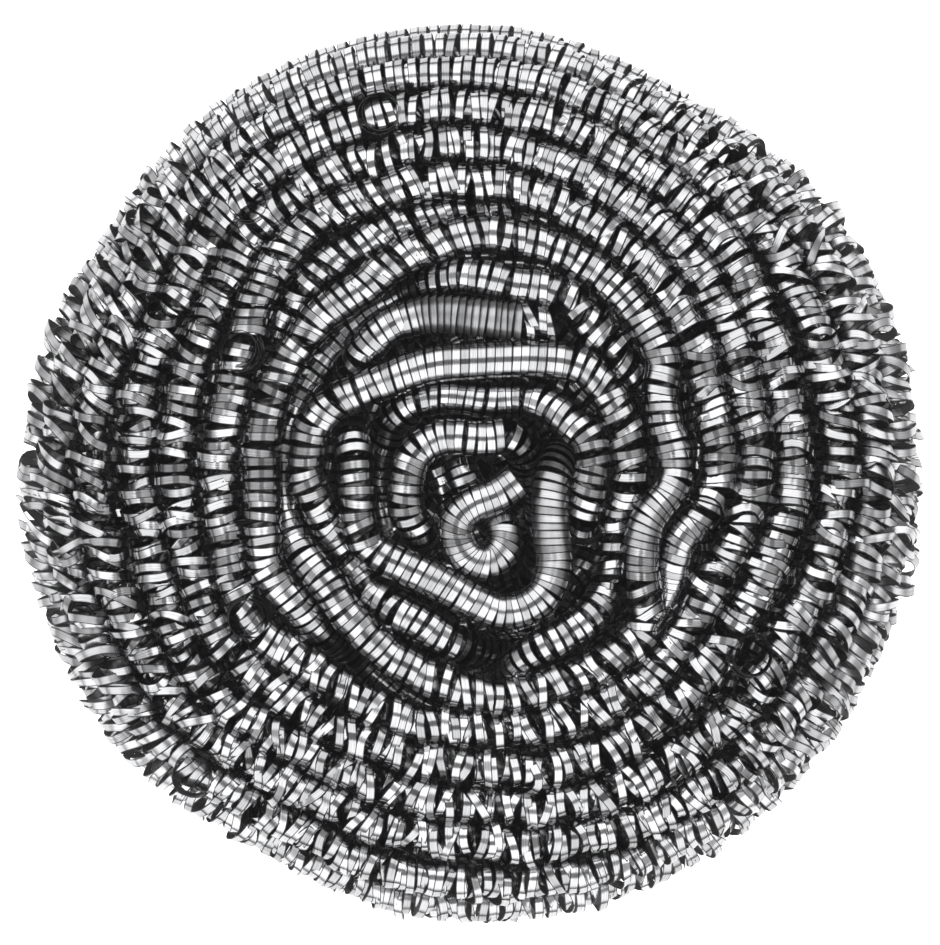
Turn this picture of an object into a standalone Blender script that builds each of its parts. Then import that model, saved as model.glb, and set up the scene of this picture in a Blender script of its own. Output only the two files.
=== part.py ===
"""A stainless scourer: one long strand of coiled flat ribbon, wound into a domed pad.

The real thing is a single piece. A thin flat ribbon is coiled into a long soft spring, and that
spring, called the strand here, is wound up on itself. Here the strand is one closed sweep that
follows the whole winding: loops in the middle of the top, rows that run outwards over the dome,
round the rim and back to the middle underneath, and a loose filling inside. All lengths are in
millimetres until the mesh is made, which is in metres.
"""
import math

import bmesh
import bpy
import numpy as np
from mathutils import Vector, kdtree

# The pad
PAD_DIAMETER = 90.0
PAD_HEIGHT = 28.0
DOME_EDGE_SLOPE = 18.0
ROW_PITCH = 4.25
BASE_HOLE_RADIUS = 5.0

# The strand
STRAND_DIAMETER = 3.6
ROW_GAP = 0.18
STRAND_SIDES = 7
END_BORE = 0.72
END_DEPTH = 2.0

# The filling inside the pad: its levels are shares of the height between the base and the top rows,
# and the leads are how far round, in degrees, the strand runs while it climbs to each level.
FILLING_PITCH = 8.4
FILLING_EDGE = 5.8
FILLING_HOLE_RADIUS = 3.6
FILLING_LEVELS = (0.27, 0.54)
FILLING_LEADS = (70.0, 25.0)
FILLING_POINTS_PER_TURN = 14

# How finely the winding is followed
STEP = 1.8
CHORD_ERROR = 0.27
LARGEST_BEND = math.radians(36.0)
LONGEST_SPAN = 8.6

# How the rows are pressed apart: rounds, the largest move in a round, how far a move spreads to
# its neighbours along the strand, and how strongly the strand returns to its traced place
SETTLING_ROUNDS = 90
LARGEST_PUSH = 0.45
EVENING = 0.45
RETURN = 0.03

METRES = 0.001

# The route was traced on a pad of this diameter, so it grows and shrinks with the pad.
TRACED_DIAMETER = 90.0

# The pad isn't quite round: (direction in degrees, depth) of the flatter places of its outline.
FLATTER_PLACES = ((60.0, 1.3), (147.0, 1.2), (240.0, 1.6))
FLATTER_WIDTH = 16.0

# Each stretch below is a list of (x, y, lift): lift is the height above the dome, so a stretch
# with a negative lift runs below the top rows.

# The cut end, and the close-coiled run that curls round the upper left of the middle.
CUT_END_RUN = [
    (4.9, 15.0, 0.0), (1.0, 15.4, 0.0), (-4.0, 15.7, 0.0), (-7.0, 15.0, 0.0),
    (-9.1, 13.6, 0.0), (-10.6, 11.8, -0.6), (-11.8, 9.6, -2.8), (-12.4, 7.2, -4.2),
    (-12.3, 4.8, -2.6), (-11.9, 2.4, -0.5), (-11.6, -1.0, 0.0), (-11.4, -4.8, 0.0),
    (-10.2, -7.5, 0.0), (-7.0, -9.1, 0.0), (-4.0, -10.4, 0.0), (0.0, -12.4, 0.0),
    (3.0, -13.7, 0.0), (5.4, -13.5, 0.0), (7.5, -12.1, 0.0), (8.7, -9.8, -0.2),
    (8.7, -6.6, -0.4), (8.6, -2.8, -0.5), (8.6, 0.2, -0.8), (9.6, 2.6, -3.4),
]

# Under its neighbour, round and back up beside itself, then left across the top of the middle.
INNER_HOOK = [
    (11.6, 3.2, -6.2), (13.4, 0.8, -8.0), (13.2, -3.0, -7.0), (11.8, -5.6, -3.6),
    (11.6, -3.4, -1.0), (11.9, 0.4, -0.6), (11.1, 3.6, -0.6), (9.4, 5.2, -0.9),
    (7.2, 6.9, -1.6), (4.8, 7.4, -2.2), (1.4, 7.4, -2.2), (-1.5, 7.8, -2.2),
    (-4.7, 7.7, -1.8), (-7.0, 6.3, -2.6), (-8.3, 3.6, -4.6), (-8.8, 0.2, -6.6),
    (-8.4, -3.6, -7.8), (-7.2, -6.6, -7.4), (-5.2, -7.4, -5.0),
]

# The arch over the middle, down on its right, and underneath everything to the lower edge.
ARCH = [
    (-5.0, -6.0, -2.2), (-6.2, -3.8, -0.4), (-6.2, -0.8, 0.0), (-5.4, 1.7, 0.0),
    (-3.3, 3.3, 0.0), (-0.4, 3.4, 0.0), (2.2, 3.3, 0.0), (4.6, 3.4, -0.3),
    (6.1, 2.2, -1.4), (6.5, 0.2, -4.6), (7.0, -3.0, -8.0), (7.6, -7.4, -9.6),
    (6.8, -12.4, -10.8), (5.4, -16.4, -11.6), (3.6, -19.8, -11.0), (2.4, -21.6, -9.2),
]

# The ring round the middle: up the right side, over the top, down the left and along the bottom.
MIDDLE_RING = [
    (2.6, -21.6, -7.0), (3.2, -20.9, -4.6), (4.2, -19.5, -2.4), (5.4, -18.3, -0.7),
    (7.0, -17.3, 0.0), (9.2, -16.1, 0.0), (11.4, -14.5, -0.2), (12.8, -12.5, -1.2),
    (13.4, -10.2, -2.2), (13.6, -7.3, -2.6), (14.0, -4.4, -1.8), (15.0, -2.0, -0.5),
    (15.5, 0.6, 0.0), (15.1, 3.4, 0.0), (14.3, 6.4, 0.0), (12.9, 9.0, 0.0),
    (11.4, 10.6, 0.0), (9.2, 11.3, 0.0), (5.0, 11.5, 0.0), (1.0, 11.2, 0.0),
    (-4.0, 10.6, 0.0), (-7.2, 9.5, 0.0), (-10.4, 8.3, 0.0), (-13.5, 6.7, 0.0),
    (-15.8, 4.0, 0.0), (-16.4, 0.4, 0.0), (-15.7, -2.8, -0.2), (-14.0, -6.2, -1.4),
    (-12.2, -9.4, -2.4), (-9.9, -12.4, -1.4), (-6.8, -14.4, -0.2), (-3.5, -16.2, -0.1),
    (-0.8, -17.5, -0.8), (1.2, -18.0, -2.6), (2.8, -18.1, -5.2), (5.0, -17.5, -7.6),
    (9.0, -15.8, -8.4), (13.6, -12.0, -8.6), (17.4, -6.5, -8.6), (19.0, -0.5, -8.0),
    (19.0, 4.6, -7.0), (18.0, 8.4, -5.0),
]

# The rows that run round the middle are lists of (direction in degrees, distance, lift).

# Up from below on the right, over the top, below its neighbours on the left, along the bottom
# and up again beside the middle ring.
SECOND_ROW = [
    (33, 19.0, -2.6), (45, 18.9, -0.9), (60, 20.2, -0.2), (75, 19.4, 0.0), (90, 19.6, -0.2),
    (102, 19.4, -1.6), (112, 19.2, -3.8), (130, 18.8, -4.6), (150, 18.6, -4.2), (170, 18.6, -4.0),
    (185, 18.6, -3.6), (197, 18.6, -2.2), (207, 18.3, -0.5), (217, 17.8, 0.0), (226, 18.1, 0.0),
    (234, 18.6, 0.0), (243, 19.4, 0.0), (256, 20.4, 0.0), (270, 21.3, 0.0), (285, 22.0, 0.0),
    (300, 22.8, 0.0), (312, 23.2, 0.0), (320, 23.2, -0.2), (326, 20.9, -0.2), (331, 19.3, 0.0),
    (338, 18.1, 0.0), (345, 17.6, 0.0), (351, 18.3, 0.0), (357, 19.8, 0.0),
]

# Once round, then down under the lower left and along below the bottom to the right.
THIRD_ROW = [
    (4, 20.2, 0.0), (14, 19.9, 0.0), (23, 20.6, 0.0), (29, 22.2, 0.0), (36, 23.0, 0.0),
    (46, 23.4, 0.0), (60, 23.9, 0.0), (75, 24.0, 0.0), (90, 23.8, 0.0), (105, 22.8, 0.0),
    (120, 21.6, 0.0), (135, 21.8, 0.0), (150, 21.5, 0.0), (165, 21.0, 0.0), (180, 20.5, 0.0),
    (193, 20.8, 0.0), (203, 21.5, 0.0), (210, 21.6, 0.0), (217, 21.3, -0.1), (225, 21.4, -1.4),
    (233, 21.6, -3.8), (243, 22.4, -6.0), (258, 24.2, -7.0), (280, 25.2, -7.4), (300, 24.6, -7.8),
    (320, 22.8, -8.2),
]

# Below its neighbours on the right, up between the third and fourth rows at the upper left, and
# down again below them.
TUCKED_ROW = [
    (340, 22.6, -8.2), (0, 23.0, -8.0), (20, 23.4, -7.6), (45, 24.2, -6.8), (65, 25.6, -5.2),
    (80, 26.4, -3.8), (90, 26.4, -2.8), (99, 26.0, -2.0), (107, 25.8, -1.1), (115, 25.4, -0.4),
    (124, 25.2, -0.2), (133, 25.1, -0.6), (141, 24.6, -2.0), (149, 23.9, -4.4), (160, 23.2, -6.4),
    (180, 22.8, -7.2), (205, 24.0, -7.4), (230, 26.4, -7.0), (250, 28.4, -7.2), (280, 29.0, -7.2),
    (300, 28.0, -6.8), (312, 26.0, -5.4), (322, 23.8, -3.8),
]

# Close-coiled where it comes up beside the second row, then once round with a dip inwards.
FOURTH_ROW = [
    (331, 22.4, -1.6), (338, 21.8, -0.3), (344, 22.0, -0.1), (351, 23.6, 0.0), (0, 24.7, 0.0),
    (15, 25.0, 0.0), (30, 26.2, 0.0), (45, 27.0, 0.0), (60, 28.0, 0.0), (75, 28.7, 0.0),
    (90, 29.1, 0.0), (105, 29.2, 0.0), (120, 29.6, 0.0), (132, 29.0, 0.0), (142, 27.2, 0.0),
    (151, 25.8, 0.0), (165, 25.0, 0.0), (180, 25.1, 0.0), (195, 25.2, 0.0), (206, 26.4, 0.0),
    (216, 26.5, 0.0), (226, 25.9, 0.0), (240, 25.2, 0.0), (255, 25.6, 0.0), (270, 25.6, 0.0),
    (285, 25.8, 0.0), (300, 26.3, 0.0), (315, 26.7, 0.0), (330, 26.2, 0.0), (345, 27.1, 0.0),
]

FIFTH_ROW = [
    (0, 28.5, 0.0), (15, 28.5, 0.0), (30, 29.4, 0.0), (45, 30.9, 0.0), (60, 31.8, 0.0),
    (75, 32.4, 0.0), (90, 32.8, 0.0), (105, 32.8, 0.0), (120, 32.8, -0.4), (135, 31.9, -0.2),
    (150, 30.5, 0.0), (165, 29.6, 0.0), (180, 29.1, 0.0), (195, 29.0, 0.0), (210, 29.6, 0.0),
    (225, 29.4, 0.0), (240, 28.9, 0.0), (255, 28.9, 0.0), (270, 29.2, 0.0), (285, 30.4, 0.0),
    (300, 30.7, 0.0), (315, 30.4, 0.0), (330, 30.2, 0.0), (345, 31.4, 0.0),
]

SIXTH_ROW = [
    (0, 32.3, 0.0), (15, 32.2, 0.0), (30, 33.0, 0.0), (45, 34.4, 0.0), (60, 35.3, 0.0),
    (75, 36.0, 0.0), (90, 36.2, 0.0), (105, 36.5, 0.0), (120, 36.1, 0.0), (135, 35.4, 0.0),
    (150, 34.4, 0.0), (165, 33.8, 0.0), (180, 32.8, 0.0), (195, 32.4, 0.0), (210, 32.8, 0.0),
    (225, 33.4, 0.0), (240, 32.8, 0.0), (255, 32.6, 0.0), (270, 32.6, 0.0), (285, 34.2, 0.0),
    (300, 35.0, 0.0), (315, 35.4, 0.0), (330, 35.6, 0.0), (345, 36.2, 0.0),
]

SEVENTH_ROW = [
    (0, 36.9, 0.0), (15, 37.0, 0.0), (30, 37.4, 0.0), (45, 38.1, 0.0), (60, 38.8, 0.0),
    (75, 39.4, 0.0), (90, 39.8, 0.0), (105, 40.1, 0.0), (120, 39.8, 0.0), (135, 39.2, 0.0),
    (150, 38.4, 0.0), (165, 38.0, 0.0), (180, 37.6, 0.0), (195, 37.2, 0.0), (210, 37.0, 0.0),
    (225, 37.2, 0.0), (240, 36.6, 0.0), (255, 36.6, 0.0), (270, 36.6, 0.0), (285, 37.8, 0.0),
    (300, 38.8, 0.0), (315, 39.4, 0.0), (330, 39.8, 0.0), (345, 40.1, 0.0),
]

# Up through the middle of the pad to the loop that lies in the centre of the top, and its end.
CENTRE_LOOP = [
    (-6.2, 0.6, -11.6), (-4.6, -3.6, -10.8), (-0.4, -5.4, -10.0), (3.6, -3.6, -9.2),
    (4.6, 0.4, -8.2), (2.4, 3.0, -7.0), (-0.4, 2.6, -5.4), (-1.0, 1.0, -4.0),
    (-0.6, -0.4, -3.2), (0.2, -1.8, -3.2), (1.2, -3.2, -3.4), (2.5, -4.6, -2.8),
    (3.5, -6.4, -1.4), (2.5, -8.7, -0.7), (0.4, -8.6, -0.5), (-1.2, -6.1, -0.2),
    (-0.7, -3.9, 0.0), (1.0, -2.5, 0.0), (2.6, -1.8, 0.0), (4.0, -1.0, -0.2), (5.3, 0.1, -0.5),
]


def pad_profile():
    """The curve that the strand's centre keeps to, seen in section: dome, rim and flat base."""
    strand_radius = STRAND_DIAMETER / 2
    base = strand_radius * math.cos(math.pi / STRAND_SIDES)
    widest = PAD_DIAMETER / 2 - strand_radius
    rise = PAD_HEIGHT - strand_radius - base
    slope = math.radians(DOME_EDGE_SLOPE)
    equations = [[math.sin(slope), 1 - math.sin(slope)], [1 - math.cos(slope), 1 + math.cos(slope)]]
    dome_radius, rim_radius = np.linalg.solve(equations, [widest, rise])
    return {
        "base": base, "top": base + rise, "widest": widest, "dome_radius": dome_radius,
        "rim_radius": rim_radius, "rim_centre": widest - rim_radius,
        "dome_edge": dome_radius * math.sin(slope), "dome_length": dome_radius * slope,
        "slope": slope,
    }


def dome_height(profile, distance):
    """Height of the strand's centre on the top of the pad, at a distance from the axis."""
    if distance <= profile["dome_edge"]:
        drop = profile["dome_radius"] - math.sqrt(profile["dome_radius"] ** 2 - distance ** 2)
        return profile["top"] - drop
    out = min(distance - profile["rim_centre"], profile["rim_radius"])
    return profile["base"] + profile["rim_radius"] + math.sqrt(profile["rim_radius"] ** 2 - out ** 2)


def along_profile(profile, length):
    """Distance from the axis and height, after a length measured outwards from the top centre."""
    if length <= profile["dome_length"]:
        angle = length / profile["dome_radius"]
        drop = profile["dome_radius"] * (1 - math.cos(angle))
        return profile["dome_radius"] * math.sin(angle), profile["top"] - drop
    angle = profile["slope"] + (length - profile["dome_length"]) / profile["rim_radius"]
    if angle < math.pi:
        rim_height = profile["base"] + profile["rim_radius"]
        return (profile["rim_centre"] + profile["rim_radius"] * math.sin(angle),
                rim_height + profile["rim_radius"] * math.cos(angle))
    past_rim = (angle - math.pi) * profile["rim_radius"]
    return profile["rim_centre"] - past_rim, profile["base"]


def length_to(profile, distance):
    """Length along the profile from the top centre out to a distance from the axis."""
    if distance <= profile["dome_edge"]:
        return profile["dome_radius"] * math.asin(distance / profile["dome_radius"])
    out = min(1.0, (distance - profile["rim_centre"]) / profile["rim_radius"])
    return profile["dome_length"] + (math.asin(out) - profile["slope"]) * profile["rim_radius"]


def polar(degrees, distance):
    """Plan position at a direction and a distance from the axis."""
    angle = math.radians(degrees)
    return distance * math.cos(angle), distance * math.sin(angle)


def lifted(profile, x, y, lift):
    """A point of the traced route, set on the dome of the pad and lifted off it."""
    growth = PAD_DIAMETER / TRACED_DIAMETER
    x, y = x * growth, y * growth
    return x, y, dome_height(profile, math.hypot(x, y)) + lift


def rim_and_base_rows(profile):
    """Rows that carry on from the last traced one, round the rim and in to the base's middle."""
    growth = PAD_DIAMETER / TRACED_DIAMETER
    traced = [(degrees, length_to(profile, distance * growth)) for degrees, distance, _ in SEVENTH_ROW]
    start = traced[0][1] + ROW_PITCH
    last = profile["dome_length"] + (math.pi - profile["slope"]) * profile["rim_radius"]
    last += profile["rim_centre"] - BASE_HOLE_RADIUS
    turns = (last - start) / ROW_PITCH
    points = []
    for step in range(int(turns * len(traced)) + 1):
        degrees, length = traced[step % len(traced)]
        turn = step / len(traced)
        unevenness = length - traced[0][1] - ROW_PITCH * (degrees / 360.0)
        fading = max(0.0, 1.0 - turn / 4.0)
        distance, height = along_profile(profile, start + turn * ROW_PITCH + unevenness * fading)
        points.append(polar(degrees, distance) + (height,))
    return points


def filling_layer(profile, level, outwards, start_degrees):
    """One loose flat spiral inside the pad, between the base and the top rows."""
    height = profile["base"] + level * (profile["top"] - profile["base"])
    inner = FILLING_HOLE_RADIUS
    outer = profile["widest"] - FILLING_EDGE
    turns = (outer - inner) / FILLING_PITCH
    count = int(turns * FILLING_POINTS_PER_TURN)
    points = []
    for step in range(count + 1):
        share = step / count
        distance = inner + (outer - inner) * (share if outwards else 1 - share)
        points.append(polar(start_degrees + 360.0 * turns * share, distance) + (height,))
    return points, start_degrees + 360.0 * turns


def whole_route(profile):
    """Every stretch in winding order, from the cut end to the open end in the middle."""
    route = []
    for stretch in (CUT_END_RUN, INNER_HOOK, ARCH, MIDDLE_RING):
        route += [lifted(profile, *point) for point in stretch]
    rows = (SECOND_ROW, THIRD_ROW, TUCKED_ROW, FOURTH_ROW, FIFTH_ROW, SIXTH_ROW, SEVENTH_ROW)
    for row in rows:
        route += [lifted(profile, *polar(degrees, distance), lift) for degrees, distance, lift in row]
    route += rim_and_base_rows(profile)
    direction = math.degrees(math.atan2(route[-1][1], route[-1][0]))
    for level, lead, outwards in zip(FILLING_LEVELS, FILLING_LEADS, (True, False)):
        layer, direction = filling_layer(profile, level, outwards, direction + lead)
        route += layer
    route += [lifted(profile, *point) for point in CENTRE_LOOP]
    return np.array(route)


def smooth_curve(points, step):
    """Points at an equal step on the smooth curve through the given ones."""
    spans = np.linalg.norm(np.diff(points, axis=0), axis=1)
    at = np.concatenate([[0.0], np.cumsum(spans)])
    slopes = np.gradient(points, at, axis=0)
    fine = []
    for index, span in enumerate(spans):
        count = max(4, int(span / 0.3))
        t = np.linspace(0.0, 1.0, count, endpoint=False)[:, None]
        fine.append((2 * t**3 - 3 * t**2 + 1) * points[index] + (t**3 - 2 * t**2 + t) * span * slopes[index]
                    + (3 * t**2 - 2 * t**3) * points[index + 1] + (t**3 - t**2) * span * slopes[index + 1])
    fine.append(points[-1:])
    return even_steps(np.vstack(fine), step)


def even_steps(points, step):
    """The same curve with its points spaced evenly."""
    spans = np.linalg.norm(np.diff(points, axis=0), axis=1)
    at = np.concatenate([[0.0], np.cumsum(spans)])
    targets = np.linspace(0.0, at[-1], int(round(at[-1] / step)) + 1)
    return np.column_stack([np.interp(targets, at, points[:, axis]) for axis in range(3)])


def flatten_outline(profile, points):
    """Draw the winding in a little where the pad's outline is flatter."""
    angles = np.degrees(np.arctan2(points[:, 1], points[:, 0]))
    distances = np.hypot(points[:, 0], points[:, 1])
    inset = np.zeros(len(points))
    for direction, depth in FLATTER_PLACES:
        off = (angles - direction + 180.0) % 360.0 - 180.0
        inset += depth * np.exp(-(off / FLATTER_WIDTH) ** 2)
    share = 1 - inset / profile["widest"] * (distances / profile["widest"]) ** 2
    points[:, 0] *= share
    points[:, 1] *= share


def settle(profile, points):
    """Press neighbouring rows apart until none lies closer than the strand is thick."""
    apart = STRAND_DIAMETER + ROW_GAP
    reach = int(2.1 * STRAND_DIAMETER / STEP) + 1
    home = points.copy()
    on_base = points[:, 2] < profile["base"] + 0.01
    for turn in range(SETTLING_ROUNDS):
        tree = kdtree.KDTree(len(points))
        for index, point in enumerate(points):
            tree.insert(point, index)
        tree.balance()
        push = np.zeros_like(points)
        for index, point in enumerate(points):
            for _, other, distance in tree.find_range(point, apart):
                if other - index > reach:
                    away = (points[index] - points[other]) / max(distance, 1e-6)
                    move = away * (apart - distance) * 0.5
                    push[index] += move
                    push[other] -= move
        sizes = np.linalg.norm(push, axis=1, keepdims=True)
        push *= np.minimum(1.0, LARGEST_PUSH / np.maximum(sizes, 1e-9))
        shift = points + push - home
        evened = shift.copy()
        evened[1:-1] += EVENING * ((shift[:-2] + shift[2:]) / 2 - shift[1:-1])
        points = home + evened * (1 - RETURN * (1 - turn / SETTLING_ROUNDS))
        keep_inside(profile, points, on_base)
    return points


def keep_inside(profile, points, on_base):
    """Hold the settled winding within the pad's height and width, and its base rows flat."""
    points[:, 2] = np.clip(points[:, 2], profile["base"], profile["top"])
    points[on_base, 2] = profile["base"]
    distances = np.hypot(points[:, 0], points[:, 1])
    share = np.minimum(1.0, profile["widest"] / np.maximum(distances, 1e-9))
    points[:, 0] *= share
    points[:, 1] *= share


def centred(points):
    """The same winding with the middle of its outline on the pad's axis."""
    middle = (points.min(axis=0) + points.max(axis=0)) / 2
    return points - middle * (1.0, 1.0, 0.0)


def stations(points):
    """Pick the points that the sweep needs: few on gentle rows, more where the strand bends."""
    picked = [0]
    tangents = np.gradient(points, axis=0)
    tangents /= np.linalg.norm(tangents, axis=1, keepdims=True)
    while picked[-1] < len(points) - 1:
        start = picked[-1]
        end = start + 1
        while end < len(points) - 1 and fits_span(points, tangents, start, end + 1):
            end += 1
        picked.append(end)
    return points[picked]


def fits_span(points, tangents, start, end):
    """Whether one straight span may replace the curve between two of its points."""
    chord = points[end] - points[start]
    length = np.linalg.norm(chord)
    if length > LONGEST_SPAN:
        return False
    bend = math.acos(max(-1.0, min(1.0, float(tangents[start] @ tangents[end]))))
    if bend > LARGEST_BEND:
        return False
    between = points[start + 1:end] - points[start]
    off = np.linalg.norm(np.cross(between, chord / length), axis=1)
    return off.max(initial=0.0) <= CHORD_ERROR


def carried_frames(points, level_at):
    """Side and up directions of the sweep, level at one station and carried along both ways."""
    tangents = np.gradient(points, axis=0)
    tangents /= np.linalg.norm(tangents, axis=1, keepdims=True)
    tangents = [Vector(tangent) for tangent in tangents]
    ups = [None] * len(points)
    ups[level_at] = Vector((0.0, 0.0, 1.0))
    for order in (range(level_at + 1, len(points)), range(level_at - 1, -1, -1)):
        before = level_at
        for index in order:
            turn = tangents[before].rotation_difference(tangents[index])
            up = turn @ ups[before]
            ups[index] = (up - tangents[index] * up.dot(tangents[index])).normalized()
            before = index
    return [(up.cross(tangent), up, tangent) for tangent, up in zip(tangents, ups)]


def ring(mesh, centre, side, up, radius):
    """One ring of the strand's section, with a flat facet facing down; none reaches below z = 0."""
    verts = []
    for corner in range(STRAND_SIDES):
        angle = 2 * math.pi * (corner + 0.5) / STRAND_SIDES - math.pi / 2
        place = centre + (side * math.cos(angle) + up * math.sin(angle)) * radius
        place.z = max(place.z, 0.0)
        verts.append(mesh.verts.new(place * METRES))
    return verts


def bridge(mesh, first, second):
    """Wall between two rings, facing outwards when the second lies ahead of the first."""
    for corner in range(STRAND_SIDES):
        ahead = (corner + 1) % STRAND_SIDES
        mesh.faces.new((first[corner], first[ahead], second[ahead], second[corner]))


def wound_strand(profile):
    """The strand as one closed sweep with a shallow round bore in each cut end."""
    points = smooth_curve(whole_route(profile), STEP)
    flatten_outline(profile, points)
    points = stations(centred(settle(profile, points)))
    on_base = np.flatnonzero(points[:, 2] < profile["base"] + 1e-6)
    frames = carried_frames(points, int(on_base[len(on_base) // 2]))
    mesh = bmesh.new()
    radius = STRAND_DIAMETER / 2
    rings = [ring(mesh, Vector(point), side, up, radius) for point, (side, up, _) in zip(points, frames)]
    for first, second in zip(rings, rings[1:]):
        bridge(mesh, first, second)
    for end, inwards in ((0, 1), (-1, -1)):
        side, up, tangent = frames[end]
        centre = Vector(points[end])
        mouth = ring(mesh, centre, side, up, radius * END_BORE)
        floor = ring(mesh, centre + tangent * inwards * END_DEPTH, side, up, radius * END_BORE)
        walls = (rings[end], mouth, floor)
        for near, far in zip(walls, walls[1:]):
            bridge(mesh, *((far, near) if inwards > 0 else (near, far)))
        mesh.faces.new(reversed(floor) if inwards > 0 else floor)
    return mesh


def steel():
    """Bright drawn stainless steel."""
    material = bpy.data.materials.new("stainless_ribbon")
    material.use_nodes = True
    shader = material.node_tree.nodes["Principled BSDF"]
    shader.inputs["Base Color"].default_value = (0.60, 0.61, 0.62, 1.0)
    shader.inputs["Metallic"].default_value = 1.0
    shader.inputs["Roughness"].default_value = 0.22
    return material


def build():
    for old in list(bpy.data.objects):
        bpy.data.objects.remove(old)
    mesh = wound_strand(pad_profile())
    data = bpy.data.meshes.new("wound_strand")
    mesh.to_mesh(data)
    mesh.free()
    data.materials.append(steel())
    data.shade_smooth()
    data.set_sharp_from_angle(angle=math.radians(60.0))
    strand = bpy.data.objects.new("wound_strand", data)
    bpy.context.scene.collection.objects.link(strand)


build()
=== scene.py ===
"""The looks of the metal scourer: every turn of its coiled ribbon, laid round the strand's winding."""
import math

import bpy
import numpy as np
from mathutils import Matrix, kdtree


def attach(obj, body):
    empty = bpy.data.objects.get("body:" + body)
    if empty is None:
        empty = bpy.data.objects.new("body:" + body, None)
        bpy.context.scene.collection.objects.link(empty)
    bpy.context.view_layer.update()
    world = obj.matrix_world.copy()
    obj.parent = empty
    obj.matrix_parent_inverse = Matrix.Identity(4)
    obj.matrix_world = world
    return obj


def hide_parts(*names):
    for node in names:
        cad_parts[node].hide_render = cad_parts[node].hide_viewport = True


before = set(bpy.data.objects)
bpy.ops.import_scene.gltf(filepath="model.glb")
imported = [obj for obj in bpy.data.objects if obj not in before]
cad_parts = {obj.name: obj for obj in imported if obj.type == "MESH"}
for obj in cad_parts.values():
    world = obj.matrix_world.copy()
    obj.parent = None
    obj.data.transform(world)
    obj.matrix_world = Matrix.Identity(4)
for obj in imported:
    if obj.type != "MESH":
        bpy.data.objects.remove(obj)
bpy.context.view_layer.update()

# The camera looks straight down on the pad through a long lens, with the pad filling the frame as
# in the photograph. It is square to the worktop, so the pad's outline keeps its true shape.
PHOTO_WIDTH_PX = 940
PHOTO_HEIGHT_PX = 945
METRES_PER_PIXEL = 0.0001
PAD_CENTRE_PX = (470.5, 472.0)
CAMERA_HEIGHT = 2.0
FOCUS_HEIGHT = 0.016

camera_data = bpy.data.cameras.new("camera")
camera_data.sensor_fit = "VERTICAL"
camera_data.sensor_height = 24.0
frame_height = PHOTO_HEIGHT_PX * METRES_PER_PIXEL
camera_data.lens = camera_data.sensor_height * (CAMERA_HEIGHT - FOCUS_HEIGHT) / frame_height
camera_data.sensor_width = camera_data.sensor_height * PHOTO_WIDTH_PX / PHOTO_HEIGHT_PX
camera = bpy.data.objects.new("camera", camera_data)
camera.location = ((PHOTO_WIDTH_PX / 2 - PAD_CENTRE_PX[0]) * METRES_PER_PIXEL,
                   (PAD_CENTRE_PX[1] - PHOTO_HEIGHT_PX / 2) * METRES_PER_PIXEL, CAMERA_HEIGHT)
bpy.context.scene.collection.objects.link(camera)
bpy.context.scene.camera = camera

# The strand's winding: the line that the middle of the coiled strand follows, in millimetres. It is
# one line from the cut end at the top of the middle to the open end in the centre, wound by hand
# over a former and then pressed together, so that its rows lie against each other.
STRAND_DIAMETER = 3.6
PAD_DIAMETER = 90.0
PAD_HEIGHT = 28.0
STRAND_SIDES = 7
DOME_EDGE_SLOPE = math.radians(18.0)
ROW_PITCH = 4.25
BASE_HOLE_RADIUS = 5.0
ROW_GAP = 0.18
FILLING_PITCH = 8.4
FILLING_EDGE = 5.8
FILLING_HOLE_RADIUS = 3.6
FILLING_LEVELS = (0.27, 0.54)
FILLING_LEADS = (70.0, 25.0)
FILLING_POINTS_PER_TURN = 14
ROUTE_STEP = 1.8
FLATTER_PLACES = ((60.0, 1.3), (147.0, 1.2), (240.0, 1.6))
FLATTER_WIDTH = 16.0
SETTLING_ROUNDS = 90
LARGEST_PUSH = 0.45
EVENING = 0.45
RETURN = 0.03

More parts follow.
